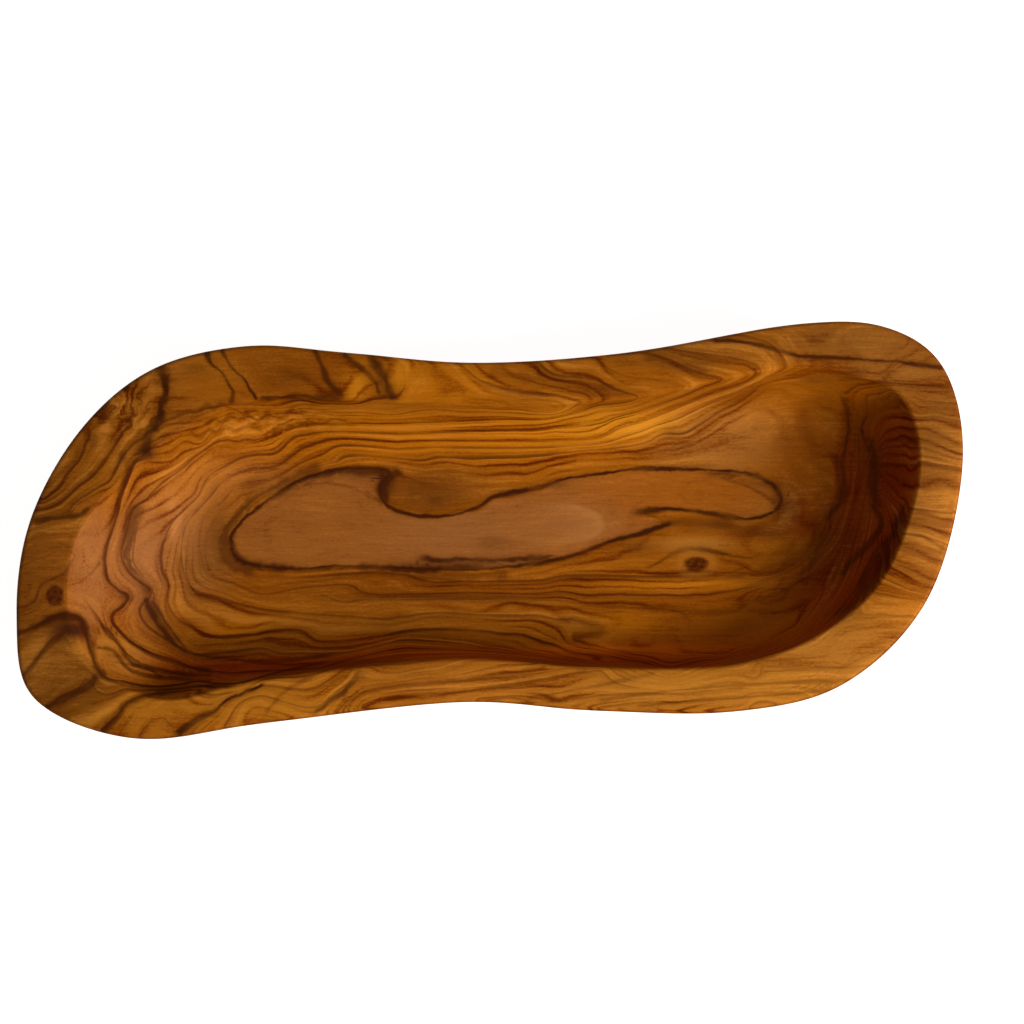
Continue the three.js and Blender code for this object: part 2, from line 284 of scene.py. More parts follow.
LINES = [
    # The heart's outline
    (0, 0.22, [
        (232, 540), (233, 551), (239, 560), (250, 565), (281, 568), (299, 570), (316, 568), (337, 566),
        (378, 566), (400, 569), (422, 568), (439, 569), (482, 569), (510, 567), (530, 564), (541, 561),
        (560, 557), (574, 555), (588, 550), (601, 545), (612, 541), (640, 534), (655, 529), (666, 524),
        (657, 518), (645, 513), (653, 511), (664, 508), (680, 508), (700, 512), (720, 515), (740, 519),
        (765, 516), (777, 511), (781, 502), (781, 494), (772, 485), (760, 476), (746, 473), (719, 472),
        (700, 470), (679, 469), (662, 471), (640, 469), (627, 470), (615, 474), (600, 474), (579, 477),
        (560, 480), (549, 483), (541, 488), (525, 491), (497, 496), (486, 503), (479, 509), (465, 512),
        (448, 516), (431, 517), (413, 515), (396, 510), (384, 503), (380, 495), (382, 482), (390, 472),
        (378, 469), (361, 469), (344, 469), (327, 472), (309, 477), (292, 484), (280, 493), (266, 502),
        (250, 514), (240, 524), (233, 532), (232, 540),
    ]),
    # Round the heart, from its upper left by the left end to the right wall
    (1, 0.25, [
        (340, 462), (306, 470), (292, 477), (275, 488), (257, 498), (240, 514), (230, 525), (222, 535),
        (220, 545), (224, 558), (232, 567), (246, 574), (260, 577), (300, 577),
    ]),
    (1, 0.6, [
        (300, 577), (340, 574), (375, 572), (406, 574), (420, 579), (439, 582), (465, 581), (500, 581),
        (541, 580), (560, 576), (579, 575), (610, 575), (640, 576), (695, 575), (740, 575),
    ]),
    (1, 0.2, [
        (740, 575), (760, 578), (781, 574), (800, 564), (815, 550), (827, 535), (834, 517), (843, 490),
        (843, 471), (844, 456), (848, 442), (847, 431), (848, 417),
    ]),
    (1, 0.35, [(841, 395), (850, 391), (859, 385), (881, 383), (919, 384), (954, 388)]),
    (1, 0.68, [
        (340, 458), (361, 456), (420, 461), (439, 458), (500, 458), (541, 456), (560, 454), (584, 451),
        (600, 450), (619, 448), (640, 444), (653, 440), (662, 434), (683, 434), (700, 425), (719, 413),
        (740, 403), (760, 387),
    ]),
    (2, 0.5, [
        (337, 584), (351, 585), (361, 591), (375, 594), (420, 594), (474, 592), (520, 594), (560, 592),
        (584, 594), (640, 595), (700, 595), (720, 592), (740, 589), (760, 585),
    ]),
    (2, 0.2, [
        (760, 585), (781, 581), (800, 576), (817, 564), (833, 548), (845, 525), (858, 470), (857, 438),
        (860, 427), (866, 416),
    ]),
    (2, 0.35, [(867, 395), (880, 393), (888, 390), (905, 392)]),
    (2.5, 0.35, [
        (323, 596), (340, 600), (375, 599), (440, 599), (500, 599), (560, 601), (579, 603), (600, 606),
        (640, 608), (679, 610),
    ]),
    # Folded line along the lower floor
    (3, 0.55, [
        (200, 592), (240, 603), (266, 609), (300, 613), (345, 615), (380, 617), (440, 614), (458, 613),
        (500, 615), (541, 616), (560, 619), (575, 620),
    ]),
    (3, 0.25, [
        (575, 620), (591, 624), (605, 629), (600, 633), (588, 635), (572, 639), (584, 642), (600, 646),
        (612, 649),
    ]),
    (3, 0.45, [
        (612, 649), (640, 651), (660, 653), (690, 655), (722, 655), (740, 650), (760, 647), (781, 637),
    ]),
    (3, 0.15, [
        (781, 637), (801, 625), (822, 600), (838, 570), (846, 545), (854, 520), (861, 495), (866, 470),
        (869, 450),
    ]),
    # Along the far wall, round the lip and back along the rim
    (3, 0.45, [
        (400, 442), (413, 441), (500, 441), (560, 441), (600, 438), (619, 429), (636, 424), (653, 418),
        (671, 411), (688, 404), (714, 394), (740, 386), (757, 377), (761, 370), (755, 364), (740, 359),
        (720, 356), (700, 353), (679, 350), (662, 347),
    ]),
    (3, 0.12, [(872, 440), (876, 425), (885, 415), (900, 412)]),
    (3, 0.35, [(912, 416), (919, 417), (940, 417), (959, 421)]),
    (4, 0.65, [
        (641, 352), (660, 356), (679, 363), (700, 372), (719, 376), (722, 378), (720, 382), (700, 389),
        (679, 398), (660, 404), (640, 411), (619, 417), (600, 424), (567, 427), (541, 431), (500, 431),
        (465, 432), (400, 434), (330, 432), (293, 438), (287, 444), (275, 454), (257, 455), (240, 459),
        (222, 469), (210, 476), (204, 486), (199, 496), (190, 505), (180, 514), (171, 523), (165, 537),
        (162, 548), (161, 560), (164, 574), (169, 586), (168, 598), (171, 610), (180, 620), (191, 626),
        (199, 632), (218, 636), (243, 634), (257, 633), (271, 630), (300, 630), (309, 635), (316, 640),
        (345, 640), (378, 636), (400, 632), (413, 630), (465, 629), (500, 633), (520, 635), (541, 640),
        (560, 646), (575, 652), (600, 655), (619, 660), (640, 662), (653, 665), (671, 668),
    ]),
    (4, 0.12, [(874, 452), (884, 441), (900, 437)]),
    (4, 0.45, [(918, 442), (940, 447), (959, 454)]),
    (4.5, 0.3, [(600, 361), (605, 365), (613, 370), (627, 375), (645, 378), (662, 380)]),
    (5, 0.7, [
        (541, 363), (549, 370), (561, 375), (579, 376), (596, 378), (605, 382), (619, 389), (631, 394),
        (638, 397), (631, 401), (615, 404), (598, 406), (577, 413), (560, 417), (541, 420), (500, 420),
        (448, 422), (413, 423), (379, 424), (344, 424), (300, 426), (280, 432), (260, 439), (239, 441),
        (220, 441), (208, 448), (196, 456), (184, 467), (170, 477), (156, 488), (147, 498), (134, 508),
        (129, 521), (125, 537), (121, 555), (125, 565), (134, 576), (144, 584), (151, 589), (152, 596),
        (146, 602), (141, 608), (142, 617), (149, 626), (160, 634), (170, 640), (178, 645), (187, 652),
        (208, 654), (240, 650), (261, 648), (280, 653), (301, 653), (344, 652), (361, 649), (379, 645),
        (400, 640), (420, 640), (460, 643), (483, 647), (500, 649), (520, 652), (541, 655), (560, 658),
        (579, 661), (601, 664),
    ]),
    (5, 0.12, [(873, 464), (888, 459), (905, 460)]),
    (5, 0.5, [(921, 461), (940, 464), (962, 468)]),
    # Left wall, and the rim beyond it
    (6, 0.9, [
        (135, 462), (131, 472), (125, 486), (121, 497), (119, 509), (115, 522), (110, 538), (105, 555),
        (106, 568), (108, 580), (116, 588), (121, 593), (129, 597), (126, 603), (120, 610), (114, 615),
        (113, 622), (120, 631), (130, 641), (144, 650), (156, 655), (173, 659), (184, 664), (199, 669),
        (225, 672), (260, 671), (320, 668),
    ]),
    (6.5, 0.7, [
        (102, 624), (107, 634), (118, 643), (125, 653), (135, 659), (147, 667), (166, 672), (191, 676),
    ]),
    (6, 0.4, [
        (161, 459), (172, 457), (178, 450), (184, 442), (194, 444), (203, 443), (208, 436), (217, 430),
        (229, 420), (260, 417), (300, 413), (337, 413), (361, 413), (391, 415), (413, 412), (439, 410),
        (465, 412), (500, 413), (549, 415), (567, 411),
    ]),
    (6, 0.7, [(480, 381), (497, 386), (520, 391), (541, 393), (555, 395)]),
    (6, 0.3, [(555, 395), (570, 398), (582, 401), (577, 406), (567, 411)]),
    (6, 0.5, [
        (34, 558), (47, 555), (61, 551), (69, 551), (76, 553), (74, 562), (70, 570), (61, 575),
        (50, 580), (42, 584), (36, 591), (35, 598), (26, 605), (19, 608),
    ]),
    (6, 0.12, [(874, 476), (888, 484), (900, 497)]),
    (6, 0.5, [(912, 509), (928, 511), (940, 513), (958, 512)]),
    (7, 0.7, [
        (240, 405), (261, 406), (275, 407), (290, 404), (297, 401), (309, 402), (318, 404), (335, 404),
        (353, 404), (365, 402), (379, 399), (396, 398),
    ]),
    (7, 0.6, [(108, 483), (97, 489), (83, 498), (73, 505), (67, 513), (42, 519)]),
    (7, 0.9, [
        (19, 632), (35, 626), (50, 619), (61, 615), (76, 617), (82, 621), (85, 631), (92, 652),
        (96, 664), (100, 672), (108, 678), (125, 681), (139, 685), (160, 686), (180, 684), (199, 681),
        (217, 683), (240, 683),
    ]),
    (7.5, 0.5, [(59, 636), (50, 645), (42, 653), (33, 664), (26, 672)]),
    (6.5, 0.4, [(40, 529), (57, 532), (78, 528)]),
    (7, 0.12, [(876, 488), (886, 500), (898, 515)]),
    (7, 0.5, [(907, 534), (919, 535), (940, 541), (949, 546)]),
    (6.5, 0.25, [(327, 408), (361, 407), (396, 406), (431, 404), (465, 406), (500, 410)]),
    (8, 0.7, [(57, 505), (69, 496), (76, 489), (90, 479), (95, 474), (105, 460), (117, 443)]),
    (8, 0.7, [(92, 680), (81, 690), (66, 697), (50, 706)]),
    (8, 0.12, [(876, 500), (885, 520), (890, 540)]),
    (8, 0.5, [(895, 564), (907, 568), (919, 574), (933, 579)]),
    (9, 0.7, [(43, 500), (57, 489), (69, 472), (80, 458), (85, 444), (90, 432), (97, 424), (112, 405)]),
    (9, 0.7, [
        (199, 689), (180, 691), (158, 693), (147, 695), (135, 698), (125, 704), (120, 712), (111, 721),
        (102, 731),
    ]),
    (9, 0.12, [(880, 532), (884, 555)]),
    (9, 0.5, [(885, 578), (900, 585), (911, 590), (928, 594)]),
    (10, 0.6, [
        (260, 686), (243, 693), (230, 698), (222, 704), (213, 712), (199, 718), (189, 724), (178, 732),
    ]),
    (10, 0.12, [(875, 565), (875, 580)]),
    (10, 0.45, [(876, 592), (886, 594), (900, 597), (919, 600)]),
    (11, 0.5, [(321, 704), (334, 692), (347, 683), (358, 671)]),
    (11, 0.12, [(862, 592), (862, 604)]),
    (11, 0.4, [(862, 613), (876, 613), (900, 616)]),
    (12, 0.5, [
        (344, 704), (351, 697), (361, 689), (379, 685), (396, 683), (420, 679), (439, 678), (465, 673),
        (500, 667), (541, 663),
    ]),
    (12, 0.35, [(760, 665), (781, 665), (807, 667), (841, 668)]),
    (12.5, 0.35, [(361, 692), (413, 683), (480, 680), (520, 676), (560, 669)]),
    (13, 0.4, [
        (360, 702), (379, 695), (413, 691), (448, 689), (480, 687), (520, 683), (541, 679), (567, 674),
        (600, 670),
    ]),
    (13, 0.35, [(751, 685), (781, 681), (819, 680)]),
    (14, 0.35, [
        (480, 698), (520, 696), (560, 700), (601, 695), (640, 693), (688, 692), (740, 688), (800, 686),
    ]),
    (15, 0.3, [(601, 708), (640, 702), (671, 703), (740, 698)]),
    # Between the heart and the far wall, up to the right
    (0.5, 0.3, [(640, 455), (660, 451), (679, 450), (700, 441), (719, 430), (740, 420)]),
    (1, 0.1, [(760, 387), (780, 382), (800, 380), (827, 382), (841, 390)]),
]

# Dark strokes that follow no ring: half width in pixels, strength, and the pixels that each passes. They
# are in three sets, because strokes of one set may not come close to each other.
BANDS = [
    # The darkest line of the upper right rim
    (1.7, 0.85, [
        (712, 340), (740, 342), (760, 345), (781, 351), (800, 356), (819, 357), (840, 358), (869, 360),
        (900, 362), (919, 365), (948, 368),
    ]),
    # The band across the upper left rim
    (5.2, 0.9, [
        (159, 359), (163, 375), (166, 390), (161, 402), (160, 415), (153, 427), (147, 442), (147, 452),
    ]),
    # Bands and lines across the far rim
    (4.0, 0.85, [(371, 356), (377, 366), (383, 376), (388, 386), (393, 397)]),
    (2.3, 0.8, [
        (314, 350), (322, 365), (327, 380), (335, 389), (341, 397), (320, 398), (292, 397), (262, 398),
    ]),
    (2.5, 0.9, [(205, 346), (211, 363), (222, 372), (229, 384), (233, 392), (231, 402)]),
    # The inner line of the heart's lower edge
    (2.6, 0.85, [(422, 557), (440, 561), (457, 559), (480, 560), (520, 559), (550, 557)]),
    # The soft halo at the heart's left end, and the dark band under the heart
    (5.5, 0.62, [(318, 469), (264, 494), (243, 510), (229, 526), (224, 543), (229, 561), (250, 572)]),
    (3.6, 0.5, [(330, 573), (385, 573), (420, 576), (460, 577), (505, 574)]),
    # The shade under the heart's right lobe
    (4.0, 0.4, [(666, 523), (690, 521), (715, 524), (740, 528), (762, 527)]),
    # The almond round the eye
    (2.4, 0.62, [
        (650, 566), (660, 561), (671, 555), (683, 550), (695, 549), (714, 551), (732, 556), (750, 558),
    ]),
    # The band from the left rim down along the lip
    (3.2, 0.85, [
        (17, 633), (35, 626), (50, 619), (61, 616), (76, 618), (82, 622), (86, 633), (92, 652),
        (97, 666), (103, 675),
    ]),
    (2.2, 0.7, [
        (103, 676), (112, 681), (130, 685), (160, 688), (190, 686), (225, 685), (250, 680), (280, 672),
        (325, 662),
    ]),
    # The broad band of the left wall, with its dark leaf
    (5.0, 0.65, [(136, 508), (131, 525), (128, 545), (127, 557), (132, 569), (141, 580), (148, 590)]),
    (3.4, 0.8, [(147, 600), (149, 608), (154, 618), (162, 630), (171, 640)]),
    (3.4, 0.7, [(170, 639), (178, 646), (186, 651)]),
    (1.8, 0.6, [(184, 650), (205, 656), (240, 660), (280, 661), (330, 655)]),
    # The dark cleft in the right wall
    (3.4, 0.5, [(871, 440), (873, 455), (872, 475), (874, 495), (880, 508)]),
    (2.6, 0.55, [
        (845, 398), (849, 425), (846, 443), (842, 460), (842, 478), (847, 492), (836, 508), (822, 524),
    ]),
    # Soft bands of the right floor
    (4.5, 0.22, [(801, 420), (815, 456), (823, 480), (815, 514), (801, 538), (772, 562)]),
    (2.4, 0.3, [(690, 596), (735, 590), (760, 582), (790, 570), (812, 554)]),
    (2.0, 0.35, [(640, 608), (700, 612), (735, 611), (750, 602), (780, 592), (812, 574)]),
    # The fold of the lower floor
    (3.0, 0.45, [
        (560, 619), (577, 620), (592, 624), (603, 629), (594, 634), (580, 637), (575, 640), (590, 645),
    ]),
]
STREAKS = [
    # Lines across the far rim, and one under the eye
    (2.6, 0.85, [(344, 354), (352, 361), (360, 367), (368, 374), (375, 383), (378, 392)]),
    (2.3, 0.9, [(220, 345), (227, 361), (234, 370), (243, 378), (250, 389), (256, 398)]),
    (2.0, 0.35, [(640, 572), (670, 576), (695, 577), (722, 574), (750, 566)]),
    # Along the upper right rim
    (1.6, 0.5, [(845, 394), (855, 387), (866, 384), (890, 383), (920, 385), (952, 388)]),
    # In the right wall
    (2.4, 0.6, [(872, 506), (881, 517), (879, 530), (866, 547), (852, 561), (842, 574)]),
    (2.2, 0.4, [(877, 451), (886, 443), (900, 441), (917, 443)]),
    (1.8, 0.35, [(877, 467), (895, 465), (917, 466)]),
    # Low in the left wall
    (1.7, 0.7, [(97, 648), (110, 649), (118, 657), (127, 668), (145, 675), (170, 678), (210, 681)]),
    # Across the lower left rim
    (2.4, 0.6, [(64, 632), (50, 645), (42, 653), (33, 664), (24, 675)]),
    (3.2, 0.75, [(97, 676), (91, 683), (81, 690), (66, 697), (40, 710)]),
    (3.0, 0.75, [(190, 689), (160, 693), (140, 697), (125, 704), (118, 714), (108, 725), (98, 736)]),
    (2.8, 1.0, [(262, 685), (243, 693), (230, 698), (222, 704), (213, 712), (199, 718), (178, 733)]),
    # Across and along the near rim
    (1.8, 0.4, [(266, 712), (278, 698), (290, 688), (312, 677)]),
    (3.0, 0.75, [(318, 711), (332, 700), (345, 690), (360, 675)]),
    (1.6, 0.45, [(350, 702), (368, 691), (400, 686), (440, 683), (500, 676), (545, 667)]),
    (1.6, 0.4, [(385, 699), (420, 695), (480, 690), (540, 680), (585, 671)]),
    (1.5, 0.4, [(530, 698), (575, 690), (620, 681), (655, 673)]),
    (1.5, 0.4, [(600, 700), (680, 690), (760, 684), (850, 680)]),
    (1.4, 0.4, [(640, 706), (700, 700), (760, 696), (830, 690)]),
    (1.4, 0.35, [(765, 672), (810, 669), (850, 667), (882, 664)]),
    # Along the left rim
    (2.6, 0.75, [(36, 521), (54, 519), (66, 517), (78, 515), (88, 509)]),
    # Edges of the broad band of the left wall
    (1.2, 0.55, [(127, 511), (124, 530), (123, 545), (122, 556), (127, 567), (136, 578), (145, 590)]),
    (1.2, 0.55, [
        (143, 507), (137, 525), (134, 545), (133, 560), (138, 570), (147, 581), (153, 591), (154, 602),
    ]),
    (1.5, 0.6, [(153, 601), (159, 611), (167, 624), (177, 638), (187, 650)]),
    # Dark wedges of the far rim
    (5.0, 0.33, [(494, 371), (520, 376), (550, 381), (580, 386), (604, 391)]),
    (4.5, 0.4, [(648, 356), (678, 363), (704, 371)]),
    # Round the heart
    (2.1, 0.95, [
        (640, 512), (652, 510), (664, 509), (680, 509), (715, 514), (745, 519), (765, 516), (779, 507),
        (779, 492), (765, 480), (745, 473), (700, 470), (640, 469), (600, 474), (560, 480), (545, 486),
        (520, 491), (494, 497), (482, 505), (468, 511), (445, 516), (420, 516), (400, 512), (387, 505),
        (381, 495), (381, 484), (390, 472), (375, 469), (350, 468), (330, 471), (305, 478), (284, 489),
        (268, 500), (252, 512), (242, 521), (234, 530), (231, 540), (233, 552), (240, 561), (260, 566),
        (300, 569), (337, 566), (378, 567), (420, 569), (480, 569), (530, 564), (574, 555), (612, 541),
        (640, 534), (655, 529), (668, 524),
    ]),
]
THREADS = [
    # The long line of the left wall
    (1.6, 0.6, [
        (131, 468), (120, 495), (115, 515), (111, 532), (106, 547), (104, 562), (106, 575), (112, 584),
        (122, 592), (128, 597), (124, 604), (117, 611), (112, 620), (116, 627), (127, 637), (140, 647),
        (152, 655), (170, 661), (185, 666), (210, 670),
    ]),
    # Lines of the left wall below it
    (1.4, 0.35, [(85, 600), (92, 610), (102, 625)]),
    (1.7, 0.7, [(102, 625), (114, 637), (122, 650), (134, 664), (160, 671), (210, 676)]),
    (1.0, 0.35, [(68, 585), (80, 582), (92, 572), (101, 562)]),
    # Along the upper right rim
    (1.2, 0.3, [(905, 390), (930, 392), (954, 396)]),
    # Dark parts of the heart's outline
    (3.3, 0.8, [
        (382, 472), (362, 470), (340, 470), (320, 474), (300, 481), (268, 500), (242, 521), (232, 535),
        (231, 546), (237, 558), (252, 565), (300, 569), (337, 567), (370, 567),
    ]),
    (5.0, 0.85, [(398, 472), (388, 479), (383, 490), (384, 500)]),
    (2.6, 0.6, [(500, 495), (520, 491), (545, 486), (560, 481)]),
    (2.4, 0.6, [(639, 512), (652, 511), (664, 510)]),
    (2.6, 0.6, [(655, 529), (663, 526), (671, 523)]),
    (2.4, 0.6, [(705, 472), (725, 473), (745, 474)]),
    (3.6, 0.85, [(378, 568), (400, 570), (420, 570), (455, 568), (480, 568)]),
    # The dark band of the right floor
    (4.5, 0.35, [(735, 575), (765, 571), (788, 562), (808, 547), (822, 529)]),
    # Lines of the right wall
    (3.0, 0.6, [(904, 508), (897, 522), (892, 536), (880, 550), (869, 567), (860, 586)]),
    (2.0, 0.5, [(866, 416), (862, 428), (865, 441), (870, 452)]),
    (1.8, 0.4, [(833, 520), (823, 545), (812, 565), (806, 585)]),
    # Squiggles of the burl
    (1.6, 0.5, [
        (200, 411), (207, 405), (214, 409), (222, 403), (229, 408), (236, 410), (243, 413), (250, 410),
    ]),
    (1.7, 0.5, [
        (207, 424), (215, 419), (222, 422), (230, 416), (239, 419), (248, 416), (258, 420), (268, 415),
        (279, 418), (288, 413), (294, 406),
    ]),
    (1.6, 0.42, [
        (190, 432), (199, 436), (208, 430), (217, 432), (226, 427), (236, 431), (247, 426), (260, 430),
    ]),
    (1.6, 0.42, [(275, 428), (286, 424), (297, 427), (309, 421), (321, 424), (333, 419), (346, 421)]),
    # The line inside the heart's upper left edge, and the one in its right lobe
    (1.1, 0.35, [(292, 488), (323, 483), (340, 485), (358, 490), (368, 496), (378, 502)]),
    (1.6, 0.5, [(708, 474), (725, 479), (742, 484), (757, 491), (768, 498), (774, 503)]),
]

# Places between the lines whose age is settled too: age, then the pixel
PLAIN_PLACES = [
    (-0.7, (300, 525)), (-0.7, (350, 520)), (-0.7, (420, 540)), (-0.7, (480, 535)), (-0.7, (550, 525)),
    (-0.7, (600, 515)), (-0.7, (640, 490)), (-0.7, (700, 490)), (-0.7, (740, 495)), (-0.7, (260, 540)),
    (-0.3, (645, 523)), (-0.3, (653, 524)), (0.4, (672, 517)), (0.4, (690, 520)), (0.5, (785, 440)),
    (0.5, (812, 480)), (0.5, (800, 520)), (0.5, (765, 545)), (0.5, (620, 560)), (1.8, (205, 545)),
    (2.8, (185, 545)), (1.8, (210, 515)), (2.8, (191, 522)), (1.9, (212, 575)), (2.8, (192, 580)),
    (1.7, (238, 492)), (2.7, (226, 484)), (1.6, (262, 588)), (7.0, (404, 372)), (0.7, (800, 410)),
    (0.8, (825, 450)), (1.4, (800, 345)), (0.6, (696, 560)), (6.4, (90, 560)), (6.4, (85, 600)),
    (1.5, (900, 340)), (1.5, (850, 335)), (1.4, (880, 371)), (1.2, (820, 370)), (7.7, (60, 660)),
    (9.5, (130, 715)), (6.5, (450, 385)), (7.5, (285, 372)), (7.5, (190, 382)), (7.7, (142, 392)),
    (7.5, (340, 372)), (7.4, (372, 376)), (11.5, (840, 640)),
]

LINE_SPACING = 6  # pixels between the points that stand for a line
STROKE_SPACING = 3  # likewise for a stroke
FIELD_ROUNDING = 2.5 * MM  # below this distance the field is smoothed over a point
FIELD_SLACK = 1e-4  # how far a point may be missed, so that lines which crowd each other don't ripple
STRENGTH_ROUNDING = 1.5 * MM  # below this distance a line's strength is even
PLAIN_STRENGTH = 0.12  # of a line that passes a plain place
FEWEST_RINGS = 20  # rings to a metre, where the age hardly changes
CHUNK = 2000  # corners worked out at a time


def along_line(pixels, spacing):
    """Pixels a fixed spacing apart on the smooth curve through a traced line's pixels."""
    points = np.array(pixels, dtype=float)
    rows = np.concatenate([2 * points[:1] - points[1:2], points, 2 * points[-1:] - points[-2:-1]])
    dense = []
    for span in range(len(points) - 1):
        length = np.linalg.norm(points[span + 1] - points[span])
        count = max(1, round(length / spacing))
        for step in range(count):
            dense.append(smooth_between(*rows[span:span + 4], step / count))
    dense.append(points[-1])
    return dense


def traced_points():
    """Points on the skin with their ages, and the strengths of the whole and half age lines there."""
    rows = []
    for age, strength, pixels in LINES:
        half = age % 1 == 0.5
        for px, py in along_line(pixels, LINE_SPACING):
            spot = on_skin(px, py)
            if spot is not None:
                rows.append((*spot, age, 0 if half else strength, strength if half else 0))
    for age, (px, py) in PLAIN_PLACES:
        rows.append((*on_skin(px, py), age, PLAIN_STRENGTH, 0))
    rows = np.array(rows)
    return rows[:, :3], rows[:, 3], rows[:, 4:]


def square_gaps(places, spots):
    """Squared distances from each place to each spot."""
    gaps = (places ** 2).sum(1)[:, None] + (spots ** 2).sum(1)[None] - 2 * places @ spots.T
    return np.maximum(gaps, 0)


def fit_field(spots, ages):
    """Weights of a smooth field through the ages at the spots, and the straight trend under it."""
    count = len(spots)
    trend = np.concatenate([np.ones((count, 1)), spots], axis=1)
    matrix = np.zeros((count + 4, count + 4))
    matrix[:count, :count] = np.sqrt(square_gaps(spots, spots) + FIELD_ROUNDING ** 2)
    matrix[:count, :count] -= FIELD_SLACK * np.eye(count)
    matrix[:count, count:] = trend
    matrix[count:, :count] = trend.T
    answer = np.linalg.solve(matrix, np.concatenate([ages, np.zeros(4)]))
    return answer[:count], answer[count:]


def wood_figure():
    """At each corner of the skin: the age, how many rings pass to a metre there, and the strengths of the
    whole and half age lines."""
    spots, ages, strengths = traced_points()
    weights, trend = fit_field(spots, ages)
    age = np.empty(len(corners))
    rings = np.empty(len(corners))
    strength = np.empty((len(corners), 2))
    for first in range(0, len(corners), CHUNK):
        part = slice(first, first + CHUNK)
        here = corners[part]
        gaps = square_gaps(here, spots)
        reach = np.sqrt(gaps + FIELD_ROUNDING ** 2)
        age[part] = reach @ weights + trend[0] + here @ trend[1:]
        pull = weights / reach
        climb = here * pull.sum(1)[:, None] - pull @ spots + trend[1:]
        climb -= (climb * normals[part]).sum(1)[:, None] * normals[part]
        rings[part] = np.linalg.norm(climb, axis=1)
        nearness = 1 / (gaps + STRENGTH_ROUNDING ** 2) ** 2
        strength[part] = nearness @ strengths / nearness.sum(1)[:, None]
    return age, rings, strength


# Colours of the wood

def colour(text):
    """A colour as the screen shows it, rrggbb, in the linear numbers of the renderer, by the usual curve."""
    shown = np.array([int(text[i:i + 2], 16) / 255 for i in (0, 2, 4)])
    linear = np.where(shown <= 0.04045, shown / 12.92, ((shown + 0.055) / 1.055) ** 2.4)
    return (*linear.tolist(), 1.0)


GOLD = colour("884906")
BRIGHT_GOLD = colour("ae6307")
OLIVE = colour("733f0d")
BROWN = colour("723803")
TAN = colour("9a6020")
GREY_TAN = colour("744416")
SALMON = colour("8a5329")
ORANGE_TAN = colour("9a5a18")
RED_BROWN = colour("8d2f02")
UPPER_TAN = colour("93551c")
FLAME = colour("a24a05")
BURR = colour("6c3706")
UPPER_OLIVE = colour("8a4e12")
HEART_PINK = colour("844b1a")
HEART_PALE = colour("875125")
HEART_GOLD = colour("88480a")
HEART_DULL = colour("77441b")
RIGHT_TAN = colour("7d4818")
NEAR_TAN = colour("a0641d")
CORNER_TAN = colour("7c4a19")
LEFT_OLIVE = colour("5c3208")
DEEP_RED = colour("6e2002")
SHADED_GOLD = colour("a45406")
RIM_GOLD = colour("a15a06")
FLOOR_TAN = colour("7f4b1c")
NEAR_RED = colour("a84606")
RED_SHADE = colour("7a2e02")
FAR_TAN = colour("8a5520")
LOWER_TAN = colour("9e5e14")
# Painted shade of the right wall, just under its lip
PAINTED_SHADE_MAROON = colour("5e1001")
SHADE = colour("501c02")
NEAR_GLOW = colour("c45c08")
HIGH_GOLD = colour("c27c18")
LIGHT_SALMON = colour("b0703a")
FAR_GOLD = colour("b0680e")

# Where they lie: a colour, the pixel at the middle of its patch, and the patch's reach in pixels
RIM_PATCHES = [
    (OLIVE, (45, 570), (40, 95)),
    (LEFT_OLIVE, (65, 685), (50, 40)),
    (UPPER_OLIVE, (140, 405), (50, 45)),
    (BROWN, (285, 375), (40, 22)),
    (GOLD, (205, 380), (30, 22)),
    (RIM_GOLD, (440, 382), (50, 16)),
    (FAR_GOLD, (354, 386), (8, 12)),
    (FAR_GOLD, (400, 372), (10, 14)),
    (GOLD, (555, 383), (50, 14)),
    (OLIVE, (690, 350), (60, 12)),
    (GREY_TAN, (860, 342), (60, 16)),
    (CORNER_TAN, (900, 375), (45, 18)),
    (GREY_TAN, (940, 430), (20, 45)),
    (RIGHT_TAN, (932, 520), (25, 45)),
    (TAN, (840, 650), (60, 30)),
    (NEAR_TAN, (700, 690), (110, 16)),
    (ORANGE_TAN, (470, 683), (70, 16)),
    (LOWER_TAN, (270, 703), (70, 18)),
    (LOWER_TAN, (150, 713), (45, 16)),
]
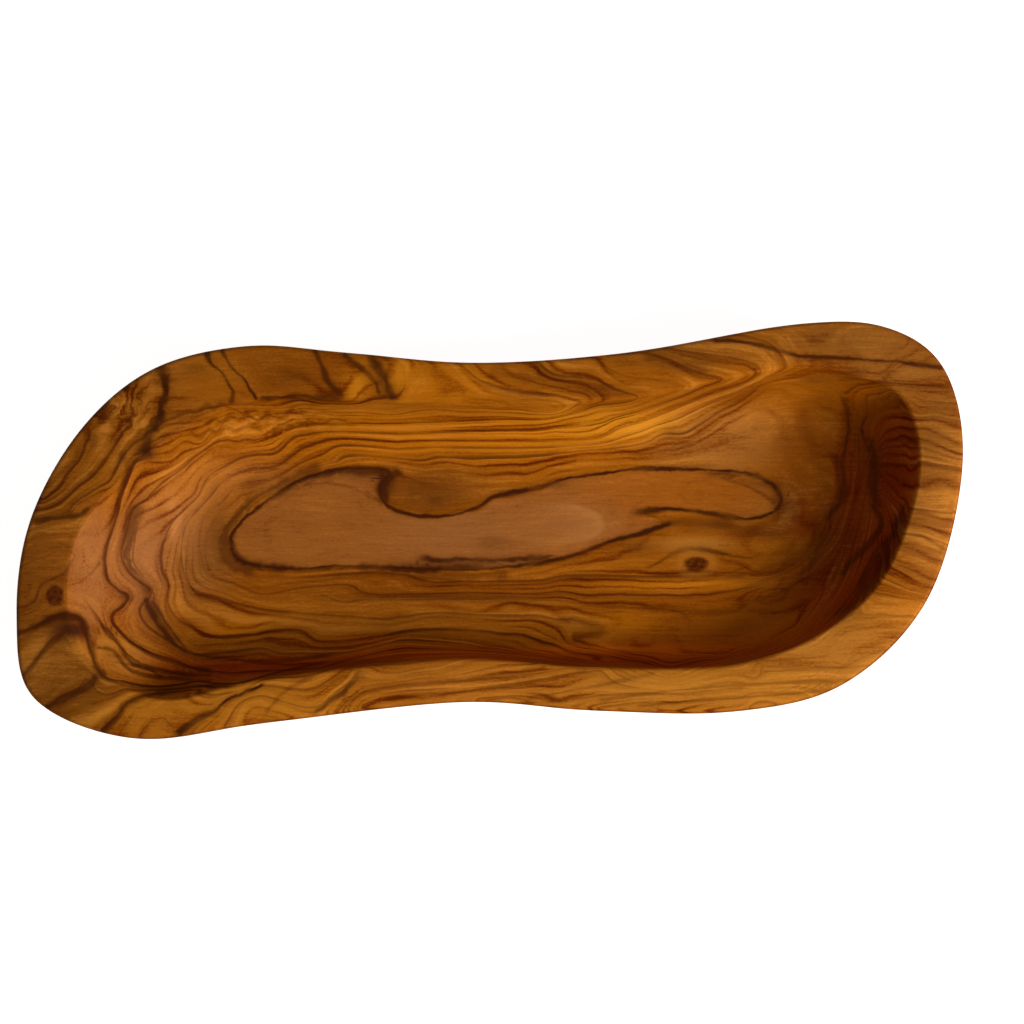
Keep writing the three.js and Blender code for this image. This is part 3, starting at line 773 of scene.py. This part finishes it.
HOLLOW_PATCHES = [
    (SALMON, (92, 570), (16, 50)),
    (SALMON, (143, 550), (26, 55)),
    (UPPER_TAN, (192, 495), (34, 32)),
    (GOLD, (265, 425), (70, 18)),
    (BRIGHT_GOLD, (450, 430), (150, 22)),
    (FAR_TAN, (720, 438), (50, 26)),
    (BROWN, (805, 465), (30, 50)),
    # The next three patches: the right wall's red-brown, partly the wood's own colour and partly painted
    # shade
    (RED_BROWN, (895, 470), (32, 70)),
    (RED_BROWN, (870, 560), (30, 40)),
    (RED_BROWN, (835, 600), (45, 30)),
    (FLAME, (730, 648), (90, 16)),
    (SHADED_GOLD, (745, 615), (60, 24)),
    (GOLD, (780, 546), (32, 9)),
    (RED_SHADE, (806, 520), (16, 22)),
    (SHADE, (789, 510), (12, 20)),
    (SHADE, (764, 534), (20, 5)),
    (BROWN, (230, 452), (20, 8)),
    (BROWN, (730, 393), (40, 8)),
    (LIGHT_SALMON, (175, 520), (6, 20)),
    (HIGH_GOLD, (608, 425), (60, 8)),
    (NEAR_GLOW, (682, 651), (35, 6)),
    (NEAR_GLOW, (600, 649), (40, 5)),
    (FLAME, (360, 641), (40, 5)),
    (BRIGHT_GOLD, (232, 630), (24, 8)),
    # The next two patches: painted shade in the right wall, darker and redder than its wood
    (DEEP_RED, (832, 580), (15, 15)),
    (PAINTED_SHADE_MAROON, (888, 476), (15, 30)),
    (SALMON, (190, 540), (13, 28)),
    (UPPER_TAN, (256, 478), (30, 12)),
    (BRIGHT_GOLD, (630, 622), (40, 11)),
    (TAN, (695, 544), (30, 5)),
    (OLIVE, (685, 464), (24, 7)),
    (BRIGHT_GOLD, (690, 585), (70, 4)),
    # The next six patches: the right wall's red-brown wood, darkened and reddened by painted shade just
    # under its lip
    (RED_BROWN, (910, 460), (10, 40)),
    (PAINTED_SHADE_MAROON, (897, 530), (13, 24)),
    (PAINTED_SHADE_MAROON, (881, 563), (14, 20)),
    (PAINTED_SHADE_MAROON, (855, 600), (18, 14)),
    (DEEP_RED, (852, 548), (18, 20)),
    (RED_BROWN, (848, 488), (11, 35)),
    (RED_BROWN, (822, 629), (28, 12)),
    (RED_BROWN, (770, 651), (35, 9)),
    (RED_BROWN, (690, 663), (50, 8)),
    (RED_BROWN, (600, 661), (55, 8)),
    (NEAR_RED, (500, 655), (60, 8)),
    (NEAR_RED, (410, 653), (50, 8)),
    (DEEP_RED, (310, 667), (60, 9)),
    (TAN, (122, 655), (25, 18)),
    (SHADED_GOLD, (876, 408), (24, 13)),
    (FLAME, (890, 426), (18, 9)),
    (BURR, (432, 490), (42, 17)),
    (BROWN, (400, 588), (150, 12)),
    (GOLD, (400, 620), (250, 22)),
    (RED_BROWN, (250, 668), (90, 12)),
    (FLOOR_TAN, (200, 560), (25, 40)),
]
HEART_PATCHES = [
    (HEART_PINK, (300, 530), (90, 40)),
    (HEART_PALE, (450, 535), (60, 20)),
    (HEART_PALE, (570, 521), (34, 15)),
    (HEART_DULL, (497, 543), (24, 9)),
    (HEART_GOLD, (700, 488), (75, 26)),
]
PLAIN_SHARE = 0.2  # weight of plain gold beside the patches

# Soft dark smudges of the wood, and at the end painted shadow under the lip of the right wall: strength,
# pixel and reach
SMUDGES_AND_LIP_SHADOW = [
    (0.7, (387, 483), (9, 13)), (0.6, (366, 473), (22, 6)), (0.4, (512, 493), (16, 4)),
    (0.4, (556, 484), (13, 5)), (0.4, (722, 475), (18, 4)), (0.6, (650, 512), (10, 3)),
    (0.6, (666, 523), (7, 4)), (0.5, (430, 566), (42, 5)), (0.3, (540, 560), (35, 4)),
    (0.5, (720, 524), (45, 8)), (0.35, (756, 482), (18, 6)), (0.5, (790, 507), (12, 22)),
    (0.7, (778, 499), (5, 13)), (0.6, (770, 486), (8, 5)), (0.45, (475, 563), (50, 5)),
    (0.4, (636, 546), (28, 7)), (0.85, (146, 451), (11, 9)), (0.8, (150, 606), (7, 9)),
    (0.8, (156, 617), (8, 9)), (0.8, (164, 629), (8, 8)), (0.7, (173, 640), (7, 7)),
    (0.8, (66, 627), (18, 9)), (0.6, (78, 632), (9, 10)), (0.6, (57, 638), (13, 9)),
    (0.25, (586, 628), (14, 7)), (0.6, (381, 377), (9, 10)), (0.5, (376, 364), (7, 8)),
    (0.5, (386, 390), (9, 8)), (0.3, (600, 390), (30, 8)), (0.4, (690, 367), (27, 7)),
    (0.3, (671, 433), (11, 7)), (0.15, (540, 378), (45, 9)), (0.25, (292, 378), (24, 8)),
    (0.3, (432, 492), (46, 20)), (0.35, (434, 501), (9, 5)), (0.4, (217, 533), (15, 34)),
    (0.3, (262, 486), (28, 10)), (0.25, (492, 545), (14, 8)), (0.5, (450, 598), (110, 4)),
    (0.7, (123, 457), (5, 7)), (0.5, (92, 475), (5, 4)), (0.4, (105, 415), (8, 6)),
    (0.4, (92, 440), (7, 6)), (0.4, (813, 380), (14, 3)), (0.3, (855, 376), (10, 6)),
    (0.6, (127, 597), (6, 5)), (0.35, (195, 370), (18, 7)), (0.5, (874, 480), (5, 24)),
    # The last four: painted shadow in the right wall, just under its lip
    (0.55, (897, 528), (9, 20)), (0.6, (882, 560), (14, 16)), (0.55, (864, 588), (16, 14)),
    (0.45, (843, 612), (16, 11)),
]
EYE = ((696, 564), (13, 8.5))  # the knot of the floor, with paler wood round it
RIM_KNOT = ((55, 596), (10, 12))  # the knot of the left rim
PALE_OVAL = ((545, 524), (66, 23))  # in the heart
PALE_END = ((597, 524), (55, 40))  # where that oval is palest
BURLS = [(1, (265, 420), (75, 20)), (1, (120, 412), (36, 36))]  # strength, pixel and reach

# Places where the wood is plainer: how much plainer, pixel and reach
CALM_PLACES = [
    (0.6, (110, 560), (45, 60)), (0.8, (207, 540), (38, 55)), (0.5, (225, 375), (80, 25)),
    (0.5, (430, 380), (45, 18)), (0.7, (150, 550), (18, 45)), (0.7, (885, 480), (38, 90)),
    (0.6, (850, 590), (40, 40)), (0.4, (800, 460), (60, 60)), (0.85, (740, 630), (80, 32)),
    (0.85, (665, 628), (60, 26)), (0.5, (435, 492), (45, 18)), (0.8, (700, 545), (90, 26)),
    (0.5, (935, 430), (30, 50)), (0.7, (680, 682), (120, 16)), (0.6, (320, 370), (40, 22)),
    (0.75, (890, 352), (50, 25)), (0.8, (688, 520), (30, 11)), (0.5, (190, 392), (45, 18)),
    (0.7, (845, 650), (35, 25)), (0.4, (220, 480), (55, 40)), (0.7, (270, 705), (50, 18)),
    (0.6, (280, 590), (60, 20)), (0.5, (62, 672), (40, 38)), (0.7, (800, 395), (50, 20)),
]

PIXEL = 0.3166 * MM  # what a pixel of the photograph covers at the rim
PATCH_DEPTH = 10 * MM  # how far a patch reaches up and down
LEAST_STREAKED = 0.2  # share of the streaks that is left in the calmest place
FURTHEST_STROKE = 8  # in a stroke's own half widths
STROKE_ENDS = 3.4  # likewise, where its darkness has faded out
RIM_STARTS, RIM_WHOLE = 40.6 * MM, 41.35 * MM  # heights between which the rim's colours come in
STROKE_SETS = {"band": BANDS, "streak": STREAKS, "thread": THREADS}


def stroke_figure(strokes):
    """At each corner of the skin, for the nearest stroke: how far aside it lies, in half widths, and its
    strength, which fades past its ends."""
    nearest = np.full(len(corners), float(FURTHEST_STROKE))
    aside = np.full(len(corners), float(FURTHEST_STROKE))
    strength = np.zeros(len(corners))
    across = np.array(view_back)
    for half_width, dark, pixels in strokes:
        spots = [on_skin(px, py) for px, py in along_line(pixels, STROKE_SPACING)]
        path = np.array([spot for spot in spots if spot is not None])
        width = half_width * PIXEL
        reach = FURTHEST_STROKE * width
        beside = (corners > path.min(0) - reach) & (corners < path.max(0) + reach)
        near = np.flatnonzero(beside.all(1))
        for start, end in zip(path[:-1], path[1:]):
            length = np.linalg.norm(end - start)
            way = (end - start) / length
            side = np.cross(across, way)
            from_start = corners[near] - start
            ahead = from_start @ way
            past = np.maximum(np.maximum(-ahead, ahead - length), 0) / width
            gap = np.linalg.norm(from_start - np.clip(ahead, 0, length)[:, None] * way, axis=1) / width
            closer = gap < nearest[near]
            chosen = near[closer]
            nearest[chosen] = gap[closer]
            aside[chosen] = from_start[closer] @ side / np.linalg.norm(side) / width
            strength[chosen] = dark * np.exp(-past[closer] ** 2) * np.clip(STROKE_ENDS - gap[closer], 0, 1)
    return aside, strength


def shares_from(pixel, reach):
    """How far each corner lies from the middle of a patch, in shares of the patch's reach."""
    size = np.array([reach[0] * PIXEL, reach[1] * PIXEL, PATCH_DEPTH])
    return np.linalg.norm((corners - on_skin(*pixel)) / size, axis=1)


def blended(patches, plain):
    """The colour at each corner, from the patches that reach it."""
    total = np.full((len(corners), 4), PLAIN_SHARE) * plain
    weight = np.full((len(corners), 1), PLAIN_SHARE)
    for tint, pixel, reach in patches:
        share = np.exp(-shares_from(pixel, reach) ** 2)[:, None]
        total += share * np.array(tint)
        weight += share
    return total / weight


def gathered(places):
    """At each corner, the strengths of the places that reach it."""
    return sum(strength * np.exp(-shares_from(pixel, reach) ** 2) for strength, pixel, reach in places)


def outer_share():
    """1 on the base and the outer sides, down to 0 where the outer edge has turned into the rim."""
    ring = (np.arange(len(corners)) - 1) // COLUMNS
    edge_starts = BASE_STEPS - 1 + OUTSIDE_RINGS * OUTSIDE_STEPS
    edge_rings = EDGE_RINGS * EDGE_STEPS
    return np.clip(1 - (ring - edge_starts) / edge_rings, 0, 1)


def keep_number(name, values):
    layer = bowl.data.attributes.new(name, "FLOAT", "POINT")
    layer.data.foreach_set("value", np.asarray(values, dtype=np.float32))


def keep_colour(name, values):
    layer = bowl.data.attributes.new(name, "FLOAT_COLOR", "POINT")
    layer.data.foreach_set("color", np.asarray(values, dtype=np.float32).ravel())


age, rings, strength = wood_figure()
numbers = {
    "age": age,
    "rings_per_metre": np.maximum(rings, FEWEST_RINGS),
    "line_strength": strength[:, 0],
    "half_line_strength": strength[:, 1],
    "smudge_and_lip_shadow": np.minimum(gathered(SMUDGES_AND_LIP_SHADOW), 1),
    "from_eye": shares_from(*EYE),
    "from_rim_knot": shares_from(*RIM_KNOT),
    "burl": gathered(BURLS),
    "streaked": np.maximum(1 - gathered(CALM_PLACES), LEAST_STREAKED),
    "from_oval": shares_from(*PALE_OVAL),
    "oval_strength": np.exp(-shares_from(*PALE_END) ** 2),
    "outside": outer_share(),
}
for name, strokes in STROKE_SETS.items():
    numbers[name + "_aside"], numbers[name + "_strength"] = stroke_figure(strokes)
for name, values in numbers.items():
    keep_number(name, values)
keep_colour("rim_tint", blended(RIM_PATCHES, GOLD))
keep_colour("hollow_tint", blended(HOLLOW_PATCHES, GOLD))
keep_colour("heart_tint", blended(HEART_PATCHES, HEART_PINK))


# Material

class Shader:
    """A material's nodes, added one by one."""

    def __init__(self, name):
        self.material = bpy.data.materials.new(name)
        self.material.use_nodes = True
        self.tree = self.material.node_tree
        self.surface = self.tree.nodes["Principled BSDF"]

    def add(self, kind, inputs=(), **settings):
        """A node with its settings, and each input linked if it is another node's socket, else set."""
        made = self.tree.nodes.new(kind)
        for name, value in settings.items():
            setattr(made, name, value)
        for name, value in dict(inputs).items():
            self.give(made.inputs[name], value)
        return made

    def give(self, socket, value):
        if isinstance(value, bpy.types.NodeSocket):
            self.tree.links.new(value, socket)
        else:
            socket.default_value = value

    def math(self, operation, *values, clamp=False):
        made = self.add("ShaderNodeMath", operation=operation, use_clamp=clamp)
        for socket, value in zip(made.inputs, values):
            self.give(socket, value)
        return made.outputs[0]

    def number(self, name):
        return self.add("ShaderNodeAttribute", attribute_name=name).outputs["Fac"]

    def painted(self, name):
        return self.add("ShaderNodeAttribute", attribute_name=name).outputs["Color"]

    def noise(self, vector, scale, detail=2.0, roughness=0.5):
        inputs = {"Vector": vector, "Scale": scale, "Detail": detail, "Roughness": roughness}
        return self.add("ShaderNodeTexNoise", inputs).outputs["Fac"]

    def swing(self, vector, scale, detail=2.0, roughness=0.5):
        """Noise about zero."""
        return self.math("SUBTRACT", self.noise(vector, scale, detail, roughness), 0.5)

    def stretched(self, vector, scale):
        inputs = {0: vector, 1: scale}
        return self.add("ShaderNodeVectorMath", inputs, operation="MULTIPLY").outputs[0]

    def joined(self, values, scales):
        """A vector of three values, each times its own scale."""
        x, y, z = (self.math("MULTIPLY", value, scale) for value, scale in zip(values, scales))
        return self.add("ShaderNodeCombineXYZ", {"X": x, "Y": y, "Z": z}).outputs[0]

    def mapped(self, value, start, end, low=0.0, high=1.0):
        """A value between start and end, eased to between low and high."""
        inputs = {0: value, 1: start, 2: end, 3: low, 4: high}
        return self.add("ShaderNodeMapRange", inputs, interpolation_type="SMOOTHSTEP").outputs[0]

    def ramp(self, value, stops):
        made = self.add("ShaderNodeValToRGB", {"Fac": value})
        elements = made.color_ramp.elements
        while len(elements) < len(stops):
            elements.new(0.5)
        for element, (spot, shade) in zip(elements, stops):
            element.position = spot
            element.color = (*shade, 1)
        return made.outputs["Color"]

    def blend(self, share, one, other, how="MIX"):
        made = self.add("ShaderNodeMix", data_type="RGBA", blend_type=how)
        self.give(made.inputs["Factor"], share)
        self.give(made.inputs[6], one)
        self.give(made.inputs[7], other)
        return made.outputs[2]


# Colours laid over the wood
PALE = colour("bd7a2c")
OVAL = colour("b67c44")
# The dark of the ring lines, also used as painted shade on the base and the outer sides
DARK_LINE_AND_SHADE = colour("421804")
FAINT_STROKE = colour("4a1c00")
# The smudges' colour, also that of the painted shadow under the right wall's lip
SMUDGE_AND_SHADOW = colour("3a1a08")
STROKE = colour("381604")
KNOT = colour("3d1403")

# Ring lines
LINE_BEFORE = 0.55  # millimetres on the heart's side of a strong line, over which it comes in
LINE_CORE = 0.45  # millimetres on its far side over which it stays dark
LINE_EASED, EASED_SHARE = 1.5, 0.35  # millimetres on its far side by which it is eased to this share
LINE_FADE = 5.0  # millimetres on its far side by which all of its darkness is gone
FAINT_WIDTH = 0.2  # share of those widths that the faintest line has
CROWDED = 0.3  # rings to a millimetre where no finer rings show between the lines
HEART_FLOOR = -0.4  # youngest age that the whole age lines see, so that none is drawn inside the heart
HEART_EDGE = 0.02, -0.1  # ages between which the heart's colours come in
# Painted shade: the base, the outer sides and the outer edge are darkened towards the dark of the ring lines
OUTSIDE_PAINTED_SHADE = 0.3  # how far the outer sides and the outer edge are darkened

# Noises: scale to a metre, and detail
WAVES, WAVE_HEIGHT = (70, 4), 0.25  # waves of the age
RIPPLES = 260, 2  # the same where the wood is burled
LINE_BREAKS = 55, 3
STROKE_BREAKS = 90, 3
STROKE_SWELLS = 70, 2
STROKE_WANDER, WANDER_WIDTH = (350, 3), 1.8  # in half widths
LATE_WANDER, LATE_WANDERING = (35, 2), 1.5
LATE_PATCHES = 25, 2
MOTTLE, MOTTLING = (190, 3), 2.4  # where the wood is burled
OVAL_WANDER, OVAL_WANDERING = (90, 2), 0.3
KNOT_EDGE, KNOT_RAGGED, EYE_RAGGED = (400, 3), 0.7, 0.55  # the eye is rounder than the other knot
KNOT_GRAIN = 700, 2

# Ranges: where a value starts and ends, and what is made of it there
LINE_FIRMNESS = 0.3, 0.65, 0.55, 1.1
LINES_APART = CROWDED * 1.5, CROWDED * 2.7, 1.0, 0.0
STROKE_FIRMNESS = 0.3, 0.6, 0.7, 1.1
STROKE_SWELLING = 0.3, 0.7, 0.5, 1.4
STROKE_CORE = 0.3, 1.7, 0.7, 0.0
STROKE_SOFTNESS = 0.5, 3.2, 0.3, 0.0
STROKE_STRONG = 0.3, 0.75
LATE_DEPTH = 0.4, 0.7, -0.05, -0.55
STREAKS_APART = CROWDED / 3, CROWDED, 1.0, 0.15
LIT = 0.5, 1.1, 0.0, 0.35
PALING = 0.5, 1.1, 0.0, 0.45
OVAL_EDGE = 1.03, 0.9
OVAL_PALING = 0.4, 0.95, 0.06, 0.28
EYE_RING_STARTS = 0.9, 1.2
EYE_RING_ENDS = 2.0, 1.3, 0.0, 0.18
KNOT_INSIDE = 1.1, 0.7
KNOT_FIRMNESS = 0.35, 0.65, 0.75, 0.97

# Streaks, fibres and flecks: scales, then detail and roughness of their noise, then weight in the tone
BROAD, BROAD_DETAIL, BROAD_WEIGHT = (1.8, 10, 35), (4, 0.55), 2.0  # by age, along and across
FINE, FINE_DETAIL, FINE_WEIGHT = (9, 40, 150), (2, 0.6), 0.5
FIBRES, FIBRE_DETAIL, FIBRE_WEIGHT = (90, 1200, 1200), (4, 0.7), 0.6
FLECKS, FLECK_DETAIL, FLECK_WEIGHT = (900, 2400, 2400), (2, 0.6), 0.45
LATE_RINGS = 3  # rings of dark late wood to a ring of the traced ages
LATE_ACROSS = 70  # such rings to a metre across the block
LATE_SHARPNESS = 3
HEART_CALM = 0.75  # share of the streaks that the heart lacks
MIDDLE_TONE = 0.58

ROUGHNESS, ROUGHNESS_SWING = 0.52, 0.2
SPECULAR = 0.02
BUMP_STRENGTH, BUMP_DEPTH = 0.15, 0.15 * MM

# How a tone from 0 to 1 dims the wood: darker wood is redder
DIMMING = [
    (0.0, (0.30, 0.16, 0.05)),
    (0.25, (0.62, 0.46, 0.25)),
    (0.5, (1.0, 1.0, 1.0)),
    (1.0, (1.0, 1.0, 1.0)),
]


def line_darkness(shader, age_here, per_mm, strength_here):
    """How dark the nearest line makes the wood: sharp towards the heart and fading outwards."""
    whole = shader.math("ROUND", age_here)
    off = shader.math("DIVIDE", shader.math("SUBTRACT", age_here, whole), per_mm)
    width = shader.math("MULTIPLY_ADD", strength_here, 1 - FAINT_WIDTH, FAINT_WIDTH)
    off = shader.math("DIVIDE", off, width)
    coming = shader.mapped(off, -LINE_BEFORE, -LINE_BEFORE / 3)
    core = shader.mapped(off, LINE_CORE, LINE_EASED, 1.0, EASED_SHARE)
    fading = shader.mapped(off, LINE_CORE, LINE_FADE, 1.0, 0.0)
    shape = shader.math("MULTIPLY", coming, shader.math("MULTIPLY", core, fading))
    return shader.math("MULTIPLY", shape, shader.math("MINIMUM", strength_here, 1.0))


def ring_lines(shader, place, age_here, per_mm):
    """How dark the ring lines make the wood. They are broken along their length."""
    firm = shader.mapped(shader.noise(place, *LINE_BREAKS), *LINE_FIRMNESS)
    apart = shader.mapped(per_mm, *LINES_APART)
    kept = shader.math("MULTIPLY", firm, apart)
    strength_here = shader.math("MULTIPLY", shader.number("line_strength"), kept)
    lined_age = shader.math("MAXIMUM", age_here, HEART_FLOOR)
    lines = line_darkness(shader, lined_age, per_mm, strength_here)
    half_age = shader.math("ADD", age_here, 0.5)
    half_lines = line_darkness(shader, half_age, per_mm, shader.number("half_line_strength"))
    return shader.math("MAXIMUM", lines, half_lines)


def stroke_darkness(shader, place):
    """How dark the strokes make the wood. They wander, swell and break along their length."""
    firm = shader.mapped(shader.noise(place, *STROKE_BREAKS), *STROKE_FIRMNESS)
    swell = shader.mapped(shader.noise(place, *STROKE_SWELLS), *STROKE_SWELLING)
    wander = shader.swing(place, *STROKE_WANDER)
    struck = 0.0
    for name in STROKE_SETS:
        aside = shader.math("MULTIPLY_ADD", wander, WANDER_WIDTH, shader.number(name + "_aside"))
        aside = shader.math("DIVIDE", shader.math("ABSOLUTE", aside), swell)
        core = shader.mapped(aside, *STROKE_CORE)
        shape = shader.math("ADD", core, shader.mapped(aside, *STROKE_SOFTNESS))
        strength_here = shader.math("MULTIPLY", shader.number(name + "_strength"), firm)
        struck = shader.math("MAXIMUM", struck, shader.math("MULTIPLY", shape, strength_here), clamp=True)
    return struck


def late_rings(shader, place, across, age_here):
    """Finer rings of dark late wood between the traced lines, stronger in some places than in others."""
    ring = shader.math("MULTIPLY", age_here, LATE_RINGS)
    ring = shader.math("MULTIPLY_ADD", shader.swing(place, *LATE_WANDER), LATE_WANDERING, ring)
    ring = shader.math("MULTIPLY_ADD", across, LATE_ACROSS, ring)
    late = shader.math("COSINE", shader.math("MULTIPLY", ring, 2 * math.pi))
    late = shader.math("POWER", shader.math("MULTIPLY_ADD", late, 0.5, 0.5), LATE_SHARPNESS)
    return shader.math("MULTIPLY", late, shader.mapped(shader.noise(place, *LATE_PATCHES), *LATE_DEPTH))


def wood_tone(shader, place, spot, age_here, per_mm, heart):
    """The wood's tone from dark to light, and its fibres: streaks run with the rings, and fibres and flecks
    along the block."""
    directions = age_here, spot["X"], spot["Y"]
    broad = shader.swing(shader.joined(directions, BROAD), 1, *BROAD_DETAIL)
    fine = shader.swing(shader.joined(directions, FINE), 1, *FINE_DETAIL)
    fibres = shader.swing(shader.stretched(place, FIBRES), 1, *FIBRE_DETAIL)
    flecks = shader.swing(shader.stretched(place, FLECKS), 1, *FLECK_DETAIL)
    apart = shader.mapped(per_mm, *STREAKS_APART)
    late = shader.math("MULTIPLY", late_rings(shader, place, spot["Y"], age_here), apart)
    fine = shader.math("MULTIPLY", fine, apart)
    streaks = shader.math("MULTIPLY_ADD", broad, BROAD_WEIGHT, late)
    streaks = shader.math("MULTIPLY_ADD", fine, FINE_WEIGHT, streaks)
    calm = shader.math("MULTIPLY_ADD", heart, -HEART_CALM, 1)
    calm = shader.math("MULTIPLY", calm, shader.number("streaked"))
    mottle = shader.math("MULTIPLY", shader.swing(place, *MOTTLE), shader.number("burl"))
    tone = shader.math("MULTIPLY_ADD", streaks, calm, MIDDLE_TONE)
    for part, weight in ((fibres, FIBRE_WEIGHT), (flecks, FLECK_WEIGHT), (mottle, MOTTLING)):
        tone = shader.math("MULTIPLY_ADD", part, weight, tone)
    return tone, fibres


def plain_wood(shader, place, height, heart, tone):
    """The colour of the wood by place and tone, with the heart's pale oval."""
    on_rim = shader.mapped(height, RIM_STARTS, RIM_WHOLE)
    tint = shader.blend(on_rim, shader.painted("hollow_tint"), shader.painted("rim_tint"))
    tint = shader.blend(heart, tint, shader.painted("heart_tint"))
    wood = shader.blend(1.0, tint, shader.ramp(tone, DIMMING), "MULTIPLY")
    wood = shader.blend(shader.mapped(tone, *LIT), wood, tint, "ADD")
    wood = shader.blend(shader.mapped(tone, *PALING), wood, PALE)
    oval = shader.swing(place, *OVAL_WANDER)
    oval = shader.math("MULTIPLY_ADD", oval, OVAL_WANDERING, shader.number("from_oval"))
    inside = shader.math("MULTIPLY", shader.mapped(oval, *OVAL_EDGE), shader.mapped(oval, *OVAL_PALING))
    return shader.blend(shader.math("MULTIPLY", inside, shader.number("oval_strength")), wood, OVAL)


def with_knots(shader, place, wood):
    """The wood with its two ragged knots, and with a pale ring round the eye."""
    ragged = shader.math("MULTIPLY", shader.swing(place, *KNOT_EDGE), KNOT_RAGGED)
    eye = shader.math("MULTIPLY_ADD", ragged, EYE_RAGGED, shader.number("from_eye"))
    rim_knot = shader.math("ADD", ragged, shader.number("from_rim_knot"))
    ring = shader.math("MULTIPLY", shader.mapped(eye, *EYE_RING_STARTS), shader.mapped(eye, *EYE_RING_ENDS))
    wood = shader.blend(ring, wood, PALE)
    knots = shader.mapped(shader.math("MINIMUM", eye, rim_knot), *KNOT_INSIDE)
    firm = shader.mapped(shader.noise(place, *KNOT_GRAIN), *KNOT_FIRMNESS)
    return shader.blend(shader.math("MULTIPLY", knots, firm), wood, KNOT)


def make_wood():
    shader = Shader("oiled_olive_wood")
    place = shader.add("ShaderNodeTexCoord").outputs["Object"]
    spot = shader.add("ShaderNodeSeparateXYZ", {"Vector": place}).outputs

    # The age of the wood, with small waves of its own, and ripples where the wood is burled
    ripple = shader.math("MULTIPLY", shader.swing(place, *RIPPLES), shader.number("burl"))
    age_here = shader.math("MULTIPLY_ADD", shader.swing(place, *WAVES), WAVE_HEIGHT, shader.number("age"))
    age_here = shader.math("ADD", ripple, age_here)
    per_mm = shader.math("MULTIPLY", shader.number("rings_per_metre"), MM)
    heart = shader.mapped(age_here, *HEART_EDGE)

    tone, fibres = wood_tone(shader, place, spot, age_here, per_mm, heart)
    wood = plain_wood(shader, place, spot["Z"], heart, tone)
    # Dark smudges of the wood, and painted shadow under the right wall's lip
    wood = shader.blend(shader.number("smudge_and_lip_shadow"), wood, SMUDGE_AND_SHADOW)
    wood = shader.blend(ring_lines(shader, place, age_here, per_mm), wood, DARK_LINE_AND_SHADE)
    struck = stroke_darkness(shader, place)
    stroke_colour = shader.blend(shader.mapped(struck, *STROKE_STRONG), FAINT_STROKE, STROKE)
    wood = shader.blend(struck, wood, stroke_colour)
    wood = with_knots(shader, place, wood)
    # Painted shade darkens the base, the outer sides and the outer edge
    outside = shader.math("MULTIPLY", shader.number("outside"), OUTSIDE_PAINTED_SHADE)
    wood = shader.blend(outside, wood, DARK_LINE_AND_SHADE)
    shader.give(shader.surface.inputs["Base Color"], wood)

    rough = shader.math("MULTIPLY_ADD", fibres, ROUGHNESS_SWING, ROUGHNESS)
    shader.give(shader.surface.inputs["Roughness"], rough)
    shader.surface.inputs["Specular IOR Level"].default_value = SPECULAR
    bump = shader.add("ShaderNodeBump", {"Strength": BUMP_STRENGTH, "Distance": BUMP_DEPTH, "Height": tone})
    shader.give(shader.surface.inputs["Normal"], bump.outputs[0])
    return shader.material


bowl.data.materials.append(make_wood())
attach(bowl, "root")
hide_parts(BOWL)


# Floor and light

FLOOR_SIZE = 16.0
FLOOR_GLOW = 0.9  # keeps the floor pale in the bowl's shadow
FLOOR_GREY = (0.35, 0.35, 0.35, 1)
FLOOR_ROUGHNESS = 0.9
WHITE = (1, 1, 1, 1)
KEY_PLACE = Vector((0.86, -0.36, 0.6))
KEY_SIZE = 0.45
KEY_POWER = 20
SKY_STRENGTH = 0.33


def make_floor():
    half = FLOOR_SIZE / 2
    mesh = bpy.data.meshes.new("floor")
    square = [(-half, -half, 0), (half, -half, 0), (half, half, 0), (-half, half, 0)]
    mesh.from_pydata(square, [], [(0, 1, 2, 3)])
    floor = bpy.data.objects.new("floor", mesh)
    bpy.context.scene.collection.objects.link(floor)
    paint = Shader("floor")
    paint.surface.inputs["Base Color"].default_value = FLOOR_GREY
    paint.surface.inputs["Roughness"].default_value = FLOOR_ROUGHNESS
    paint.surface.inputs["Emission Color"].default_value = WHITE
    paint.surface.inputs["Emission Strength"].default_value = FLOOR_GLOW
    mesh.materials.append(paint.material)


def make_light(name, place, size, power):
    data = bpy.data.lights.new(name, "AREA")
    data.size = size
    data.energy = power
    light = bpy.data.objects.new(name, data)
    light.location = place
    light.rotation_euler = (-place).to_track_quat("-Z", "Y").to_euler()
    bpy.context.scene.collection.objects.link(light)


def make_sky():
    world = bpy.data.worlds.new("studio")
    world.use_nodes = True
    sky = world.node_tree.nodes["Background"]
    sky.inputs["Color"].default_value = WHITE
    sky.inputs["Strength"].default_value = SKY_STRENGTH
    bpy.context.scene.world = world


make_floor()
make_light("key", KEY_PLACE, KEY_SIZE, KEY_POWER)
make_sky()
bpy.context.scene.view_settings.view_transform = "Standard"
